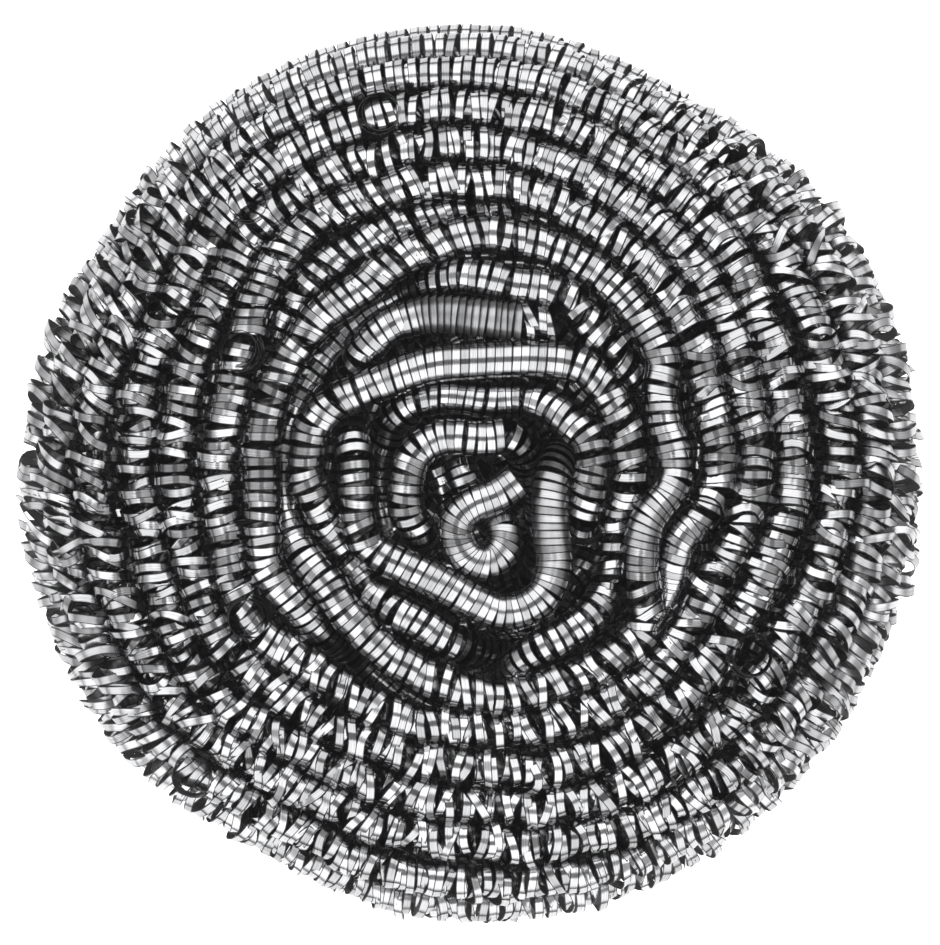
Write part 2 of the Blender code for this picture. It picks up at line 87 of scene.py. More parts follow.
# Stretches of the middle are (x, y, lift), and the rows round it (direction in degrees, distance
# from the axis, lift): lift is the height above the dome.
MIDDLE_STRETCHES = {
    "cut_end_run": [
        (4.9, 15.0, 0.0), (1.0, 15.4, 0.0), (-4.0, 15.7, 0.0), (-7.0, 15.0, 0.0),
        (-9.1, 13.6, 0.0), (-10.6, 11.8, -0.6), (-11.8, 9.6, -2.8), (-12.4, 7.2, -4.2),
        (-12.3, 4.8, -2.6), (-11.9, 2.4, -0.5), (-11.6, -1.0, 0.0), (-11.4, -4.8, 0.0),
        (-10.2, -7.5, 0.0), (-7.0, -9.1, 0.0), (-4.0, -10.4, 0.0), (0.0, -12.4, 0.0),
        (3.0, -13.7, 0.0), (5.4, -13.5, 0.0), (7.5, -12.1, 0.0), (8.7, -9.8, -0.2),
        (8.7, -6.6, -0.4), (8.6, -2.8, -0.5), (8.6, 0.2, -0.8), (9.6, 2.6, -3.4),
    ],
    "inner_hook": [
        (11.6, 3.2, -6.2), (13.4, 0.8, -8.0), (13.2, -3.0, -7.0), (11.8, -5.6, -3.6),
        (11.6, -3.4, -1.0), (11.9, 0.4, -0.6), (11.1, 3.6, -0.6), (9.4, 5.2, -0.9),
        (7.2, 6.9, -1.6), (4.8, 7.4, -2.2), (1.4, 7.4, -2.2), (-1.5, 7.8, -2.2),
        (-4.7, 7.7, -1.8), (-7.0, 6.3, -2.6), (-8.3, 3.6, -4.6), (-8.8, 0.2, -6.6),
        (-8.4, -3.6, -7.8), (-7.2, -6.6, -7.4), (-5.2, -7.4, -5.0),
    ],
    "arch": [
        (-5.0, -6.0, -2.2), (-6.2, -3.8, -0.4), (-6.2, -0.8, 0.0), (-5.4, 1.7, 0.0),
        (-3.3, 3.3, 0.0), (-0.4, 3.4, 0.0), (2.2, 3.3, 0.0), (4.6, 3.4, -0.3),
        (6.1, 2.2, -1.4), (6.5, 0.2, -4.6), (7.0, -3.0, -8.0), (7.6, -7.4, -9.6),
        (6.8, -12.4, -10.8), (5.4, -16.4, -11.6), (3.6, -19.8, -11.0), (2.4, -21.6, -9.2),
    ],
    "middle_ring": [
        (2.6, -21.6, -7.0), (3.2, -20.9, -4.6), (4.2, -19.5, -2.4), (5.4, -18.3, -0.7),
        (7.0, -17.3, 0.0), (9.2, -16.1, 0.0), (11.4, -14.5, -0.2), (12.8, -12.5, -1.2),
        (13.4, -10.2, -2.2), (13.6, -7.3, -2.6), (14.0, -4.4, -1.8), (15.0, -2.0, -0.5),
        (15.5, 0.6, 0.0), (15.1, 3.4, 0.0), (14.3, 6.4, 0.0), (12.9, 9.0, 0.0),
        (11.4, 10.6, 0.0), (9.2, 11.3, 0.0), (5.0, 11.5, 0.0), (1.0, 11.2, 0.0),
        (-4.0, 10.6, 0.0), (-7.2, 9.5, 0.0), (-10.4, 8.3, 0.0), (-13.5, 6.7, 0.0),
        (-15.8, 4.0, 0.0), (-16.4, 0.4, 0.0), (-15.7, -2.8, -0.2), (-14.0, -6.2, -1.4),
        (-12.2, -9.4, -2.4), (-9.9, -12.4, -1.4), (-6.8, -14.4, -0.2), (-3.5, -16.2, -0.1),
        (-0.8, -17.5, -0.8), (1.2, -18.0, -2.6), (2.8, -18.1, -5.2), (5.0, -17.5, -7.6),
        (9.0, -15.8, -8.4), (13.6, -12.0, -8.6), (17.4, -6.5, -8.6), (19.0, -0.5, -8.0),
        (19.0, 4.6, -7.0), (18.0, 8.4, -5.0),
    ],
}
ROWS = {
    "second_row": [
        (33, 19.0, -2.6), (45, 18.9, -0.9), (60, 20.2, -0.2), (75, 19.4, 0.0), (90, 19.6, -0.2),
        (102, 19.4, -1.6), (112, 19.2, -3.8), (130, 18.8, -4.6), (150, 18.6, -4.2), (170, 18.6, -4.0),
        (185, 18.6, -3.6), (197, 18.6, -2.2), (207, 18.3, -0.5), (217, 17.8, 0.0), (226, 18.1, 0.0),
        (234, 18.6, 0.0), (243, 19.4, 0.0), (256, 20.4, 0.0), (270, 21.3, 0.0), (285, 22.0, 0.0),
        (300, 22.8, 0.0), (312, 23.2, 0.0), (320, 23.2, -0.2), (326, 20.9, -0.2), (331, 19.3, 0.0),
        (338, 18.1, 0.0), (345, 17.6, 0.0), (351, 18.3, 0.0), (357, 19.8, 0.0),
    ],
    "third_row": [
        (4, 20.2, 0.0), (14, 19.9, 0.0), (23, 20.6, 0.0), (29, 22.2, 0.0), (36, 23.0, 0.0),
        (46, 23.4, 0.0), (60, 23.9, 0.0), (75, 24.0, 0.0), (90, 23.8, 0.0), (105, 22.8, 0.0),
        (120, 21.6, 0.0), (135, 21.8, 0.0), (150, 21.5, 0.0), (165, 21.0, 0.0), (180, 20.5, 0.0),
        (193, 20.8, 0.0), (203, 21.5, 0.0), (210, 21.6, 0.0), (217, 21.3, -0.1), (225, 21.4, -1.4),
        (233, 21.6, -3.8), (243, 22.4, -6.0), (258, 24.2, -7.0), (280, 25.2, -7.4), (300, 24.6, -7.8),
        (320, 22.8, -8.2),
    ],
    "tucked_row": [
        (340, 22.6, -8.2), (0, 23.0, -8.0), (20, 23.4, -7.6), (45, 24.2, -6.8), (65, 25.6, -5.2),
        (80, 26.4, -3.8), (90, 26.4, -2.8), (99, 26.0, -2.0), (107, 25.8, -1.1), (115, 25.4, -0.4),
        (124, 25.2, -0.2), (133, 25.1, -0.6), (141, 24.6, -2.0), (149, 23.9, -4.4), (160, 23.2, -6.4),
        (180, 22.8, -7.2), (205, 24.0, -7.4), (230, 26.4, -7.0), (250, 28.4, -7.2), (280, 29.0, -7.2),
        (300, 28.0, -6.8), (312, 26.0, -5.4), (322, 23.8, -3.8),
    ],
    "fourth_row": [
        (331, 22.4, -1.6), (338, 21.8, -0.3), (344, 22.0, -0.1), (351, 23.6, 0.0), (0, 24.7, 0.0),
        (15, 25.0, 0.0), (30, 26.2, 0.0), (45, 27.0, 0.0), (60, 28.0, 0.0), (75, 28.7, 0.0),
        (90, 29.1, 0.0), (105, 29.2, 0.0), (120, 29.6, 0.0), (132, 29.0, 0.0), (142, 27.2, 0.0),
        (151, 25.8, 0.0), (165, 25.0, 0.0), (180, 25.1, 0.0), (195, 25.2, 0.0), (206, 26.4, 0.0),
        (216, 26.5, 0.0), (226, 25.9, 0.0), (240, 25.2, 0.0), (255, 25.6, 0.0), (270, 25.6, 0.0),
        (285, 25.8, 0.0), (300, 26.3, 0.0), (315, 26.7, 0.0), (330, 26.2, 0.0), (345, 27.1, 0.0),
    ],
    "fifth_row": [
        (0, 28.5, 0.0), (15, 28.5, 0.0), (30, 29.4, 0.0), (45, 30.9, 0.0), (60, 31.8, 0.0),
        (75, 32.4, 0.0), (90, 32.8, 0.0), (105, 32.8, 0.0), (120, 32.8, -0.4), (135, 31.9, -0.2),
        (150, 30.5, 0.0), (165, 29.6, 0.0), (180, 29.1, 0.0), (195, 29.0, 0.0), (210, 29.6, 0.0),
        (225, 29.4, 0.0), (240, 28.9, 0.0), (255, 28.9, 0.0), (270, 29.2, 0.0), (285, 30.4, 0.0),
        (300, 30.7, 0.0), (315, 30.4, 0.0), (330, 30.2, 0.0), (345, 31.4, 0.0),
    ],
    "sixth_row": [
        (0, 32.3, 0.0), (15, 32.2, 0.0), (30, 33.0, 0.0), (45, 34.4, 0.0), (60, 35.3, 0.0),
        (75, 36.0, 0.0), (90, 36.2, 0.0), (105, 36.5, 0.0), (120, 36.1, 0.0), (135, 35.4, 0.0),
        (150, 34.4, 0.0), (165, 33.8, 0.0), (180, 32.8, 0.0), (195, 32.4, 0.0), (210, 32.8, 0.0),
        (225, 33.4, 0.0), (240, 32.8, 0.0), (255, 32.6, 0.0), (270, 32.6, 0.0), (285, 34.2, 0.0),
        (300, 35.0, 0.0), (315, 35.4, 0.0), (330, 35.6, 0.0), (345, 36.2, 0.0),
    ],
    "seventh_row": [
        (0, 36.9, 0.0), (15, 37.0, 0.0), (30, 37.4, 0.0), (45, 38.1, 0.0), (60, 38.8, 0.0),
        (75, 39.4, 0.0), (90, 39.8, 0.0), (105, 40.1, 0.0), (120, 39.8, 0.0), (135, 39.2, 0.0),
        (150, 38.4, 0.0), (165, 38.0, 0.0), (180, 37.6, 0.0), (195, 37.2, 0.0), (210, 37.0, 0.0),
        (225, 37.2, 0.0), (240, 36.6, 0.0), (255, 36.6, 0.0), (270, 36.6, 0.0), (285, 37.8, 0.0),
        (300, 38.8, 0.0), (315, 39.4, 0.0), (330, 39.8, 0.0), (345, 40.1, 0.0),
    ],
}
CENTRE_LOOP = [
    (-6.2, 0.6, -11.6), (-4.6, -3.6, -10.8), (-0.4, -5.4, -10.0), (3.6, -3.6, -9.2),
    (4.6, 0.4, -8.2), (2.4, 3.0, -7.0), (-0.4, 2.6, -5.4), (-1.0, 1.0, -4.0),
    (-0.6, -0.4, -3.2), (0.2, -1.8, -3.2), (1.2, -3.2, -3.4), (2.5, -4.6, -2.8),
    (3.5, -6.4, -1.4), (2.5, -8.7, -0.7), (0.4, -8.6, -0.5), (-1.2, -6.1, -0.2),
    (-0.7, -3.9, 0.0), (1.0, -2.5, 0.0), (2.6, -1.8, 0.0), (4.0, -1.0, -0.2), (5.3, 0.1, -0.5),
]

# The pad's section: a dome, a round rim and a flat base, each row's centre lying on its outline.
base = STRAND_DIAMETER / 2 * math.cos(math.pi / STRAND_SIDES)
widest = (PAD_DIAMETER - STRAND_DIAMETER) / 2
rise = PAD_HEIGHT - STRAND_DIAMETER / 2 - base
dome_radius, rim_radius = np.linalg.solve(
    [[math.sin(DOME_EDGE_SLOPE), 1 - math.sin(DOME_EDGE_SLOPE)],
     [1 - math.cos(DOME_EDGE_SLOPE), 1 + math.cos(DOME_EDGE_SLOPE)]], [widest, rise])
top = base + rise
rim_centre = widest - rim_radius
dome_edge = dome_radius * math.sin(DOME_EDGE_SLOPE)
dome_length = dome_radius * DOME_EDGE_SLOPE


def on_dome(x, y, lift):
    """A traced point, set on the dome of the pad and lifted off it."""
    distance = math.hypot(x, y)
    if distance <= dome_edge:
        return x, y, top - dome_radius + math.sqrt(dome_radius ** 2 - distance ** 2) + lift
    out = min(distance - rim_centre, rim_radius)
    return x, y, base + rim_radius + math.sqrt(rim_radius ** 2 - out ** 2) + lift


def in_plan(degrees, distance):
    """Plan position at a direction and a distance from the axis."""
    return distance * math.cos(math.radians(degrees)), distance * math.sin(math.radians(degrees))


def along_section(length):
    """Distance from the axis and height, after a length measured outwards from the top centre."""
    if length <= dome_length:
        angle = length / dome_radius
        return dome_radius * math.sin(angle), top - dome_radius * (1 - math.cos(angle))
    angle = DOME_EDGE_SLOPE + (length - dome_length) / rim_radius
    if angle < math.pi:
        return (rim_centre + rim_radius * math.sin(angle),
                base + rim_radius * (1 + math.cos(angle)))
    return rim_centre - (angle - math.pi) * rim_radius, base


def section_length(distance):
    """Length along the section from the top centre out to a distance from the axis."""
    if distance <= dome_edge:
        return dome_radius * math.asin(distance / dome_radius)
    out = min(1.0, (distance - rim_centre) / rim_radius)
    return dome_length + (math.asin(out) - DOME_EDGE_SLOPE) * rim_radius


def rim_and_base_rows():
    """Rows that carry on from the last traced one, round the rim and in to the base's middle."""
    traced = [(degrees, section_length(distance)) for degrees, distance, _ in ROWS["seventh_row"]]
    start = traced[0][1] + ROW_PITCH
    last = dome_length + (math.pi - DOME_EDGE_SLOPE) * rim_radius + rim_centre - BASE_HOLE_RADIUS
    points = []
    for step in range(int((last - start) / ROW_PITCH * len(traced)) + 1):
        degrees, length = traced[step % len(traced)]
        turn = step / len(traced)
        unevenness = (length - traced[0][1] - ROW_PITCH * degrees / 360.0) * max(0.0, 1.0 - turn / 4.0)
        distance, height = along_section(start + turn * ROW_PITCH + unevenness)
        points.append(in_plan(degrees, distance) + (height,))
    return points


def filling_layer(level, outwards, direction):
    """One loose flat spiral inside the pad, and the direction in which it ends."""
    outer = widest - FILLING_EDGE
    turns = (outer - FILLING_HOLE_RADIUS) / FILLING_PITCH
    count = int(turns * FILLING_POINTS_PER_TURN)
    points = []
    for step in range(count + 1):
        share = step / count
        out = share if outwards else 1 - share
        distance = FILLING_HOLE_RADIUS + (outer - FILLING_HOLE_RADIUS) * out
        points.append(in_plan(direction + 360.0 * turns * share, distance) + (base + level * rise,))
    return points, direction + 360.0 * turns


def even_steps(points, step):
    """The same line with its points spaced evenly; columns after the third are carried along."""
    at = np.concatenate([[0.0], np.cumsum(np.linalg.norm(np.diff(points[:, :3], axis=0), axis=1))])
    targets = np.linspace(0.0, at[-1], int(round(at[-1] / step)) + 1)
    return np.column_stack([np.interp(targets, at, column) for column in points.T])


def smooth_line(points, step):
    """Evenly spaced points on a smooth line through the given ones."""
    spans = np.linalg.norm(np.diff(points[:, :3], axis=0), axis=1)
    slopes = np.gradient(points, np.concatenate([[0.0], np.cumsum(spans)]), axis=0)
    fine = []
    for index, span in enumerate(spans):
        t = np.linspace(0.0, 1.0, max(4, int(span / 0.3)), endpoint=False)[:, None]
        fine.append((2 * t**3 - 3 * t**2 + 1) * points[index] + (t**3 - 2 * t**2 + t) * span * slopes[index]
                    + (3 * t**2 - 2 * t**3) * points[index + 1] + (t**3 - t**2) * span * slopes[index + 1])
    fine.append(points[-1:])
    return even_steps(np.vstack(fine), step)


def settle(points):
    """Press neighbouring rows apart for a set number of rounds, towards none lying closer than the strand is
    thick.
    """
    apart = STRAND_DIAMETER + ROW_GAP
    reach = int(2.1 * STRAND_DIAMETER / ROUTE_STEP) + 1
    home = points.copy()
    on_base = points[:, 2] < base + 0.01
    for turn in range(SETTLING_ROUNDS):
        tree = kdtree.KDTree(len(points))
        for index, point in enumerate(points):
            tree.insert(point, index)
        tree.balance()
        push = np.zeros_like(points)
        for index, point in enumerate(points):
            for _, other, distance in tree.find_range(point, apart):
                if other - index > reach:
                    move = (points[index] - points[other]) / max(distance, 1e-6) * (apart - distance) * 0.5
                    push[index] += move
                    push[other] -= move
        sizes = np.linalg.norm(push, axis=1, keepdims=True)
        push *= np.minimum(1.0, LARGEST_PUSH / np.maximum(sizes, 1e-9))
        shift = points + push - home
        evened = shift.copy()
        evened[1:-1] += EVENING * ((shift[:-2] + shift[2:]) / 2 - shift[1:-1])
        points = home + evened * (1 - RETURN * (1 - turn / SETTLING_ROUNDS))
        points[:, 2] = np.clip(points[:, 2], base, top)
        points[on_base, 2] = base
        distances = np.hypot(points[:, 0], points[:, 1])
        points[:, :2] *= np.minimum(1.0, widest / np.maximum(distances, 1e-9))[:, None]
    return points


stretches = {name: [on_dome(*point) for point in points] for name, points in MIDDLE_STRETCHES.items()}
for name, points in ROWS.items():
    stretches[name] = [on_dome(*in_plan(degrees, distance), lift) for degrees, distance, lift in points]
stretches["rim_and_base"] = rim_and_base_rows()
lead_direction = math.degrees(math.atan2(stretches["rim_and_base"][-1][1], stretches["rim_and_base"][-1][0]))
for name, level, lead, outwards in zip(("low_filling", "high_filling"), FILLING_LEVELS, FILLING_LEADS,
                                       (True, False)):
    stretches[name], lead_direction = filling_layer(level, outwards, lead_direction + lead)
stretches["centre_loop"] = [on_dome(*point) for point in CENTRE_LOOP]

# Each point of the line also carries its place in the route, so that a stretch can be found again.
stretch_start = {}
route = []
for name, points in stretches.items():
    stretch_start[name] = len(route)
    route += points
stretch_start["end"] = len(route) - 1
line = smooth_line(np.column_stack([route, np.arange(len(route))]), ROUTE_STEP)
directions = np.degrees(np.arctan2(line[:, 1], line[:, 0]))
distances = np.hypot(line[:, 0], line[:, 1])
inset = sum(depth * np.exp(-(((directions - at + 180.0) % 360.0 - 180.0) / FLATTER_WIDTH) ** 2)
            for at, depth in FLATTER_PLACES)
line[:, :2] *= (1 - inset / widest * (distances / widest) ** 2)[:, None]
line[:, :3] = settle(line[:, :3].copy())
line[:, :2] -= (line[:, :2].min(axis=0) + line[:, :2].max(axis=0)) / 2

# The ribbon: flat stainless steel a little over 0.8 mm wide, rolled thin and curled into an endless
# coil. It is one length from end to end, close-coiled near the middle and pulled out towards the rim.
METRES = 0.001
RIBBON_WIDTH = 0.88
RIBBON_THICKNESS = 0.05
SEGMENTS_PER_TURN = 18
FINE_STEP = 0.25
LOWEST_RIBBON = 0.30
SHARP_BEND = 50.0
COIL_SEED = 4.7

# How the coil lies: place (stretch, share of it), then millimetres a turn, the coil's diameter, how
# unevenly it lies (0 to 1), and how far its turns lean over sideways (the tangent of the angle).
COIL_PLACES = [
    ("cut_end_run", 0.0, 0.7, 3.6, 0.10, 0.1), ("cut_end_run", 0.16, 0.72, 3.6, 0.10, 0.0),
    ("cut_end_run", 0.24, 1.2, 3.6, 0.30, 0.2), ("cut_end_run", 0.44, 1.25, 3.7, 0.28, 0.1),
    ("cut_end_run", 0.52, 1.2, 3.7, 0.22, 0.0), ("cut_end_run", 0.57, 0.82, 3.7, 0.10, 0.0),
    ("cut_end_run", 0.76, 0.82, 3.6, 0.08, 0.0), ("cut_end_run", 0.86, 0.74, 3.7, 0.04, 0.0),
    ("inner_hook", 0.05, 0.85, 3.6, 0.15, 0.0), ("inner_hook", 0.20, 1.1, 3.6, 0.30, 0.0),
    ("inner_hook", 0.40, 1.01, 3.6, 0.25, 0.1), ("inner_hook", 0.55, 0.95, 3.6, 0.15, 0.0),
    ("inner_hook", 1.0, 0.96, 3.6, 0.20, 0.0), ("arch", 0.30, 0.96, 3.6, 0.14, 0.1),
    ("arch", 0.80, 1.06, 3.6, 0.25, 0.0), ("middle_ring", 0.05, 1.08, 3.6, 0.16, 0.1),
    ("middle_ring", 0.16, 1.1, 3.7, 0.22, 0.1), ("middle_ring", 0.19, 1.22, 3.7, 0.45, 0.3),
    ("middle_ring", 0.36, 1.18, 3.7, 0.50, 0.3), ("middle_ring", 0.42, 0.85, 3.7, 0.03, 0.0),
    ("middle_ring", 0.50, 0.86, 3.7, 0.05, 0.0), ("middle_ring", 0.54, 1.1, 3.7, 0.28, 0.2),
    ("middle_ring", 0.60, 1.1, 3.7, 0.32, 0.2), ("middle_ring", 0.68, 1.06, 3.7, 0.35, 0.1),
    ("middle_ring", 0.74, 0.94, 3.7, 0.25, 0.1), ("middle_ring", 0.84, 0.96, 3.7, 0.20, 0.1),
    ("second_row", 0.05, 1.14, 3.8, 0.65, 0.3), ("second_row", 0.12, 0.96, 3.7, 0.22, 0.0),
    ("second_row", 0.20, 0.96, 3.7, 0.20, 0.0), ("second_row", 0.43, 0.95, 3.7, 0.16, 0.1),
    ("second_row", 0.56, 0.96, 3.7, 0.22, 0.1), ("second_row", 0.62, 1.22, 3.8, 0.45, 0.3),
    ("second_row", 0.78, 1.31, 3.8, 0.70, 0.3), ("second_row", 0.85, 0.76, 3.6, 0.03, 0.0),
    ("second_row", 0.94, 0.76, 3.6, 0.05, 0.0), ("second_row", 1.0, 0.96, 3.7, 0.20, 0.0),
    ("third_row", 0.10, 0.95, 3.7, 0.14, 0.0), ("third_row", 0.28, 1.1, 3.7, 0.28, 0.2),
    ("third_row", 0.36, 1.1, 3.8, 0.38, 0.3), ("third_row", 0.40, 0.86, 3.7, 0.14, 0.2),
    ("third_row", 0.46, 1.15, 3.7, 0.42, 0.2), ("third_row", 0.56, 1.1, 3.7, 0.36, 0.1),
    ("third_row", 0.64, 1.06, 3.7, 0.32, 0.1), ("third_row", 0.68, 0.82, 3.6, 0.08, 0.0),
    ("third_row", 0.80, 0.9, 3.6, 0.12, 0.0), ("tucked_row", 0.0, 1.34, 3.6, 0.40, 0.1),
    ("tucked_row", 0.30, 1.12, 3.6, 0.42, 0.3), ("tucked_row", 0.55, 1.04, 3.6, 0.45, 0.3),
    ("tucked_row", 0.65, 1.34, 3.6, 0.40, 0.1), ("fourth_row", 0.0, 0.62, 3.6, 0.10, 0.0),
    ("fourth_row", 0.08, 0.67, 3.6, 0.15, 0.0), ("fourth_row", 0.11, 1.12, 3.7, 0.50, 0.3),
    ("fourth_row", 0.20, 0.93, 3.7, 0.42, 0.2), ("fourth_row", 0.33, 1.08, 3.8, 0.38, 0.3),
    ("fourth_row", 0.40, 1.12, 3.8, 0.55, 0.4), ("fourth_row", 0.50, 1.15, 3.8, 0.45, 0.2),
    ("fourth_row", 0.66, 0.97, 3.8, 0.40, 0.2), ("fourth_row", 0.85, 1.15, 3.8, 0.65, 0.3),
    ("fifth_row", 0.02, 1.04, 3.8, 0.50, 0.1), ("fifth_row", 0.14, 0.74, 3.7, 0.40, 0.1),
    ("fifth_row", 0.22, 0.74, 3.7, 0.45, 0.1), ("fifth_row", 0.30, 1.12, 3.9, 0.60, 0.1),
    ("fifth_row", 0.90, 1.19, 3.9, 0.75, 0.1), ("sixth_row", 0.0, 0.74, 3.8, 0.35, 0.1),
    ("sixth_row", 0.10, 0.82, 3.8, 0.45, 0.1), ("sixth_row", 0.20, 1.08, 3.9, 0.70, 0.1),
    ("seventh_row", 0.0, 0.97, 3.65, 0.75, 0.1), ("seventh_row", 1.0, 1.04, 3.65, 0.85, 0.1),
    ("rim_and_base", 0.10, 0.90, 3.65, 0.80, 0.1), ("rim_and_base", 0.25, 0.86, 3.65, 0.60, 0.1),
    ("rim_and_base", 0.50, 1.0, 3.65, 0.40, 0.1), ("rim_and_base", 1.0, 1.0, 3.60, 0.30, 0.1),
    ("low_filling", 0.0, 1.54, 4.2, 0.60, 0.2), ("high_filling", 1.0, 1.34, 4.4, 0.60, 0.2),
    ("centre_loop", 0.22, 1.06, 3.6, 0.20, 0.0), ("centre_loop", 0.30, 0.66, 3.6, 0.08, 0.0),
    ("centre_loop", 0.80, 0.64, 3.6, 0.06, 0.0), ("centre_loop", 0.86, 0.8, 3.6, 0.05, 0.0),
    ("centre_loop", 1.0, 0.8, 3.5, 0.06, 0.0),
]

# How far the turns lie over each other like shingles: place, then the tangent of their tilt.
SHINGLE_PLACES = [
    ("cut_end_run", 0.0, 0.42), ("cut_end_run", 0.08, 0.38), ("cut_end_run", 0.12, 0.12),
    ("cut_end_run", 0.76, 0.10), ("cut_end_run", 0.82, 0.24), ("cut_end_run", 0.92, 0.26),
    ("inner_hook", 0.3, 0.08), ("inner_hook", 1.0, 0.12), ("arch", 0.3, 0.07), ("middle_ring", 0.05, 0.20),
    ("middle_ring", 0.10, 0.07), ("middle_ring", 0.50, 0.06), ("second_row", 0.82, 0.08),
    ("second_row", 0.88, 0.24), ("second_row", 0.98, 0.10), ("centre_loop", 0.30, 0.08),
    ("centre_loop", 0.60, 0.20), ("centre_loop", 0.68, 0.20), ("centre_loop", 0.76, 0.08),
]

# The outer rows differ from side to side. In the west the turns have been pulled apart and lie aslant,
# in the east they do so a little, in the north they still lie as evenly as a comb, and in the south
# they lie close. For each side: its direction and spread in degrees, then how much is added to the
# distance between turns (a share), to the lean (a tangent) and to the unevenness (a share).
SIDES = (
    (180.0, 50.0, 0.12, -0.48, 0.4), (0.0, 48.0, 0.10, -0.30, 0.25),
    (97.0, 38.0, 0.12, 0.0, -0.85), (270.0, 42.0, -0.10, 0.0, -0.25),
)
OUTER_ROWS_FROM = (33.0, 38.0)

# What the node tree is given: the ribbon's section in metres, then how far a coil that lies loosely
# departs from an even one (shares and tangents, and metres for its centre and its clumping).
RIBBON_INPUTS = {
    "Ribbon Width": RIBBON_WIDTH * METRES, "Ribbon Thickness": RIBBON_THICKNESS * METRES,
    "Uneven Shingles": 0.35, "Uneven Tilt": 0.40, "Uneven Radius": 0.16, "Uneven Centre": 0.0007,
    "Uneven Lean": 0.55, "Clumping": 0.0010, "Seed": COIL_SEED,
}


def add_node(tree, kind, inputs=None, **settings):
    """Add a node with its settings; an input gets a value, or a link where a socket is given."""
    node = tree.nodes.new(kind)
    for name, value in settings.items():
        setattr(node, name, value)
    for place, value in (inputs or {}).items():
        if isinstance(value, bpy.types.NodeSocket):
            tree.links.new(value, node.inputs[place])
        else:
            node.inputs[place].default_value = value
    return node


def math_node(tree, operation, first, second=0.0, third=0.0):
    """The result of one step of arithmetic."""
    return add_node(tree, "ShaderNodeMath", {0: first, 1: second, 2: third}, operation=operation).outputs[0]


def vector_node(tree, operation, first, second=(0.0, 0.0, 0.0)):
    """The result of one step of vector arithmetic."""
    place = "Scale" if operation == "SCALE" else 1
    node = add_node(tree, "ShaderNodeVectorMath", {0: first, place: second}, operation=operation)
    return node.outputs["Value" if operation in ("DOT_PRODUCT", "LENGTH") else "Vector"]


